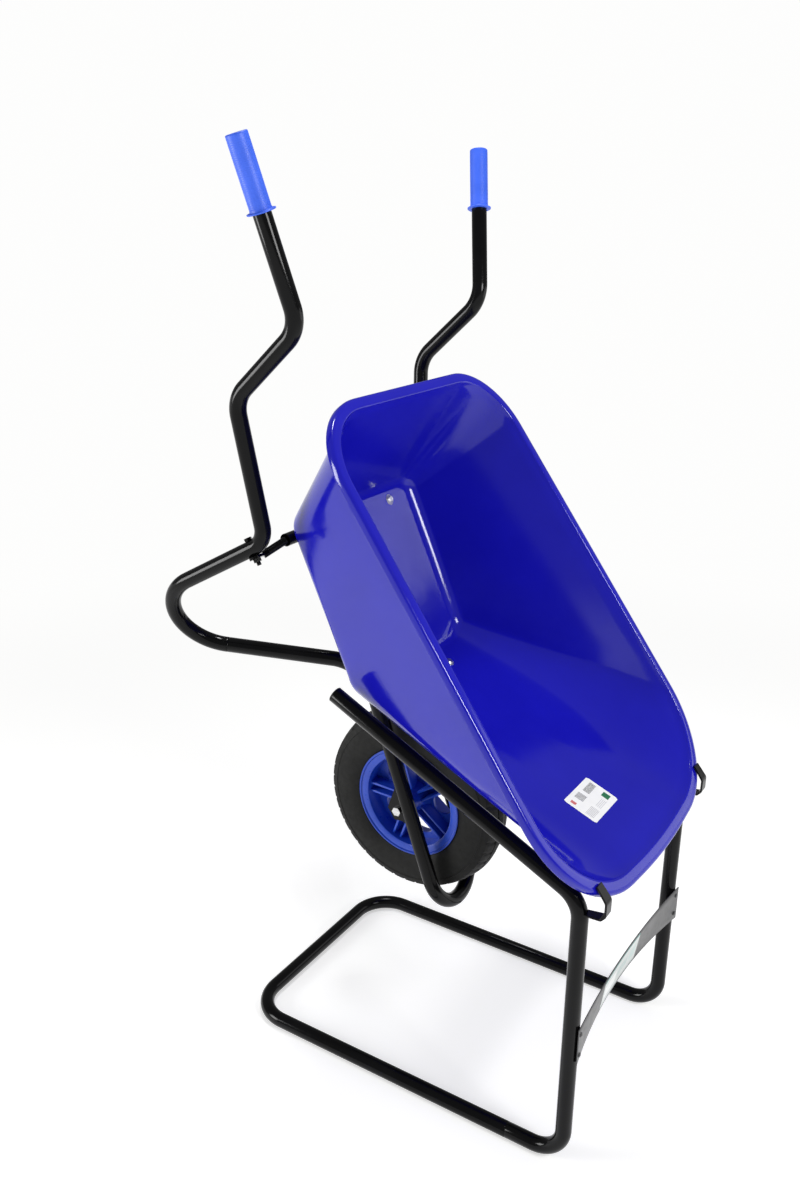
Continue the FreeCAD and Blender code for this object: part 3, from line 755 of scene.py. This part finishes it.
# ---- wheel -----------------------------------------------------------------
RIB_PAIRS = 5
RIB_TURN = 1.0
RIB_OFFSET = 9
RIB_CENTRE_R = 61.5
RIB_SIZE = (5, 60, 74)
RIB_EDGE = 1.1
WINDOW_R = 23
WINDOW_CENTRE_R = 62
WINDOW_SNAP = (18, 24.2)
WINDOW_KEEP = 22.6
WINDOW_STEPS = 48
WEB_HALF = 3
WEB_FROM, WEB_WIDE = 33, 65
WEB_STEPS, WEB_ROWS = 240, 28
TREAD_FROM_R = 186
TREAD_FROM_Y = 15.2
TREAD_BLOCKS = 44
TREAD_SLANT = 0.012
TREAD_SHARE = 0.2
TREAD_DEPTH = 1.6
TYRE_STEPS = 528


def spun(profile, count, shift=None):
    """Rings about the axle from (radius, y); shift changes a point's radius."""
    rings = []
    for r, y in profile:
        ring = []
        for k in range(count):
            t = 2 * math.pi * k / count
            q = r + (shift(r, y, t) if shift else 0)
            ring.append(Vector((q * math.sin(t), y, q * math.cos(t))))
        rings.append(ring)
    return rings


def tread_cut(r, y, t):
    """Slanted notches that leave blocks along both shoulders of the tyre."""
    if r < TREAD_FROM_R or abs(y) < TREAD_FROM_Y:
        return 0
    phase = (t * TREAD_BLOCKS / (2 * math.pi) + abs(y) * TREAD_SLANT) % 1
    return -TREAD_DEPTH if phase < TREAD_SHARE else 0


def build_tyre():
    half = [(104, 28), (104, 37), (105.5, 38.6), (112, 39), (118, 39), (121, 40.6), (126, 42.6),
            (134, 44.6), (143, 45.7), (152, 46), (160, 45.8), (168, 44.9), (172, 44.2),
            (172.6, 44.9), (174.6, 44.6), (175, 43.6), (181, 41.6), (186.4, 39.2), (187, 38.4),
            (190.4, 30), (192.6, 23), (194.6, 15.4), (194.7, 15.0), (191.3, 14.6), (191.4, 11.4),
            (195, 11), (196.4, 6), (197.2, 3)]
    outside = half + [(197.6, 0)] + [(r, -y) for r, y in half[::-1]]
    verts, faces = bridge(spun(outside, TYRE_STEPS, tread_cut))
    add_mesh("tyre_look", verts, faces, BARROW, "wheel", tyre_black, ["tyre"],
             sharp=28)


def build_rim():
    half = [(98, 0), (98, 34), (99, 38), (103, 40), (112, 40.4), (113.5, 42), (114, 43),
            (116, 43.2), (117.6, 42.2), (118, 40.6), (117.6, 39.2), (112, 39), (106, 38.6),
            (104, 37), (104, 0)]
    barrel = half + [(r, -y) for r, y in half[-2:0:-1]]
    parts = [bridge(spun(barrel, 144), True)]
    hub = [(9, 39), (16, 39.5), (16, 50), (20, 50), (24.5, 49.2), (26, 47.6), (26, 30),
           (27, 22), (30, 12), (34, 5)]
    for sign in (1, -1):
        parts.append(disc_with_windows(sign))
        parts.append(bridge(spun([(r, y * sign) for r, y in hub], 96)))
    for k in range(RIB_PAIRS):
        turn = Matrix.Rotation(math.radians(360 / RIB_PAIRS * k + RIB_TURN), 3, "Y")
        for offset in (-RIB_OFFSET, RIB_OFFSET):
            centre = turn @ Vector((offset, 0, RIB_CENTRE_R))
            parts.append(rounded_box(centre, turn @ Vector((1, 0, 0)), ACROSS,
                                     turn @ Vector((0, 0, 1)), RIB_SIZE, RIB_EDGE))
    verts, faces = join(parts)
    add_mesh("wheel_rim_look", verts, faces, BARROW, "wheel", rim_blue,
             ["rim_barrel", "wheel_spokes"], sharp=32)


def disc_with_windows(sign):
    """One face of the web, with its round windows open; the left face has their edges too."""
    centres = []
    for k in range(RIB_PAIRS):
        a = math.radians(360 / RIB_PAIRS * (k + 0.5) + RIB_TURN)
        centres.append(Vector((math.sin(a) * WINDOW_CENTRE_R, 0, math.cos(a) * WINDOW_CENTRE_R)))
    rings = spun([(WEB_FROM + WEB_WIDE * k / WEB_ROWS, 0) for k in range(WEB_ROWS + 1)], WEB_STEPS)
    near, far = WINDOW_SNAP
    for ring in rings:
        for k, p in enumerate(ring):
            for c in centres:
                if near < (p - c).length < far:
                    p = c + (p - c).normalized() * WINDOW_R
            ring[k] = p
    verts, faces = bridge(rings)
    faces = [face for face in faces
             if all((sum((verts[j] for j in face), Vector()) / 4 - c).length > WINDOW_KEEP
                    for c in centres)]
    for p in verts:
        p.y = WEB_HALF * sign
    parts = [(verts, faces)]
    if sign > 0:
        parts += [window_wall(c) for c in centres]
    return join(parts)


def window_wall(centre):
    """Edge of a round window, through the thickness of the web."""
    rings = [ring_at(centre + ACROSS * y, Vector((1, 0, 0)), Vector((0, 0, 1)), WINDOW_R,
                     WINDOW_STEPS) for y in (WEB_HALF, -WEB_HALF)]
    return bridge(rings)


# ---- small fittings that keep their CAD shape -------------------------------
FITTINGS = [
    (zinc, ["stand_joint_sleeves", "leg_joint_sleeves", "axle_bolt", "axle_nut",
            "axle_spacers", "tray_bolts", "tray_nuts", "wheel_bearings"]),
    (black_coat, ["rear_cross_tube", "front_cross_bar", "axle_bracket_left",
                  "axle_bracket_right", "cross_tube_bolts", "cross_tube_nuts"]),
    (tyre_black, ["inner_tube", "tyre_valve"])]


def dress_fittings():
    for material, nodes in FITTINGS:
        for node in nodes:
            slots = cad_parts[node].data.materials
            slots.clear()
            slots.append(material)


# ---- studio ----------------------------------------------------------------
BACKDROP = (0.985, 0.985, 0.98)
FLOOR_GLOW = 0.5
FLOOR_HALF_SIZE = 40
FLOOR_Z = -0.0005
FADE_FROM, FADE_TO = 0.8, 3.2
ROOM_LIGHT = 0.24
CAMERA_AZIMUTH, CAMERA_ELEVATION, CAMERA_ROLL = 32.33, 20.18, 0.55
CAMERA_PLACE = (0.9848, -1.7247, 1.6711)
CAMERA_LENS = 33.2955
SENSOR_HEIGHT = 36


def build_floor():
    """Pale floor that brightens into the plain background well away from the object."""
    mesh = bpy.data.meshes.new("studio_floor")
    corners = [(x * FLOOR_HALF_SIZE, y * FLOOR_HALF_SIZE, FLOOR_Z)
               for x, y in ((-1, -1), (1, -1), (1, 1), (-1, 1))]
    mesh.from_pydata(corners, [], [(0, 1, 2, 3)])
    floor = bpy.data.objects.new("studio_floor", mesh)
    bpy.context.collection.objects.link(floor)
    m, tree, b = new_material("studio_floor", (0.8, 0.8, 0.8), 0.5, specular=0.3)
    paper = ramp(tree, noise(tree, 0.6), [(0, (0.78, 0.78, 0.78)), (1, (0.82, 0.82, 0.81))])
    tree.links.new(paper, b.inputs["Base Color"])
    b.inputs["Emission Color"].default_value = (1, 1, 0.995, 1)
    b.inputs["Emission Strength"].default_value = FLOOR_GLOW
    far = tree.nodes.new("ShaderNodeEmission")
    far.inputs["Color"].default_value = (*BACKDROP, 1)
    coords = tree.nodes.new("ShaderNodeTexCoord")
    length = tree.nodes.new("ShaderNodeVectorMath")
    length.operation = "LENGTH"
    tree.links.new(coords.outputs["Object"], length.inputs[0])
    fade = tree.nodes.new("ShaderNodeMapRange")
    fade.interpolation_type = "SMOOTHSTEP"
    fade.inputs["From Min"].default_value = FADE_FROM
    fade.inputs["From Max"].default_value = FADE_TO
    tree.links.new(length.outputs["Value"], fade.inputs["Value"])
    mix = tree.nodes.new("ShaderNodeMixShader")
    tree.links.new(fade.outputs["Result"], mix.inputs["Fac"])
    tree.links.new(b.outputs["BSDF"], mix.inputs[1])
    tree.links.new(far.outputs["Emission"], mix.inputs[2])
    tree.links.new(mix.outputs["Shader"], tree.nodes["Material Output"].inputs["Surface"])
    mesh.materials.append(m)


def build_world():
    """Plain white to look at, a dimmer room as a light."""
    world = bpy.data.worlds.new("studio")
    world.use_nodes = True
    tree = world.node_tree
    room = tree.nodes["Background"]
    room.inputs["Color"].default_value = (1, 1, 1, 1)
    room.inputs["Strength"].default_value = ROOM_LIGHT
    seen = tree.nodes.new("ShaderNodeBackground")
    seen.inputs["Color"].default_value = (*BACKDROP, 1)
    rays = tree.nodes.new("ShaderNodeLightPath")
    mix = tree.nodes.new("ShaderNodeMixShader")
    tree.links.new(rays.outputs["Is Camera Ray"], mix.inputs["Fac"])
    tree.links.new(room.outputs["Background"], mix.inputs[1])
    tree.links.new(seen.outputs["Background"], mix.inputs[2])
    tree.links.new(mix.outputs["Shader"], tree.nodes["World Output"].inputs["Surface"])
    bpy.context.scene.world = world


def build_studio():
    build_floor()
    build_world()
    lamp("key", (-2.5, -2.5, 1.3), (0.0, 0, 0.8), 1.2, 1.4, 68)
    lamp("top", (-0.3, 0.3, 3.6), (0.0, 0, 0.4), 0.5, 0.5, 34)
    lamp("streak", (2.5, -0.55, 2.2), (-0.1, 0.1, 0.95), 0.9, 0.8, 46)
    lamp("right", (2.2, 1.9, 1.15), (-0.1, 0, 0.9), 1.3, 1.1, 6)


def lamp(name, place, target, wide, tall, power):
    """Rectangular area lamp that looks at a target; sizes in metres, power in watts."""
    data = bpy.data.lights.new(name, "AREA")
    data.shape = "RECTANGLE"
    data.size = wide
    data.size_y = tall
    data.energy = power
    obj = bpy.data.objects.new(name, data)
    obj.location = place
    aim = Vector(target) - Vector(place)
    obj.rotation_euler = aim.to_track_quat("-Z", "Y").to_euler()
    bpy.context.collection.objects.link(obj)


def build_camera():
    """Camera at the photograph's angle, solved from the stand's corners."""
    azimuth, elevation, roll = (math.radians(a)
                                for a in (CAMERA_AZIMUTH, CAMERA_ELEVATION, CAMERA_ROLL))
    back = Vector((math.sin(azimuth) * math.cos(elevation),
                   -math.cos(azimuth) * math.cos(elevation), math.sin(elevation)))
    right = Vector((math.cos(azimuth), math.sin(azimuth), 0))
    up = back.cross(right)
    across = right * math.cos(roll) + up * math.sin(roll)
    above = up * math.cos(roll) - right * math.sin(roll)
    data = bpy.data.cameras.new("camera")
    data.sensor_fit = "VERTICAL"
    data.sensor_height = SENSOR_HEIGHT
    data.lens = CAMERA_LENS
    obj = bpy.data.objects.new("camera", data)
    turn = Matrix((across, above, back)).transposed().to_4x4()
    obj.matrix_world = Matrix.Translation(CAMERA_PLACE) @ turn
    bpy.context.collection.objects.link(obj)
    bpy.context.scene.camera = obj


build_stand()
build_band()
build_chassis()
build_tray()
build_tyre()
build_rim()
dress_fittings()
build_studio()
build_camera()
bpy.context.scene.view_settings.view_transform = "Standard"
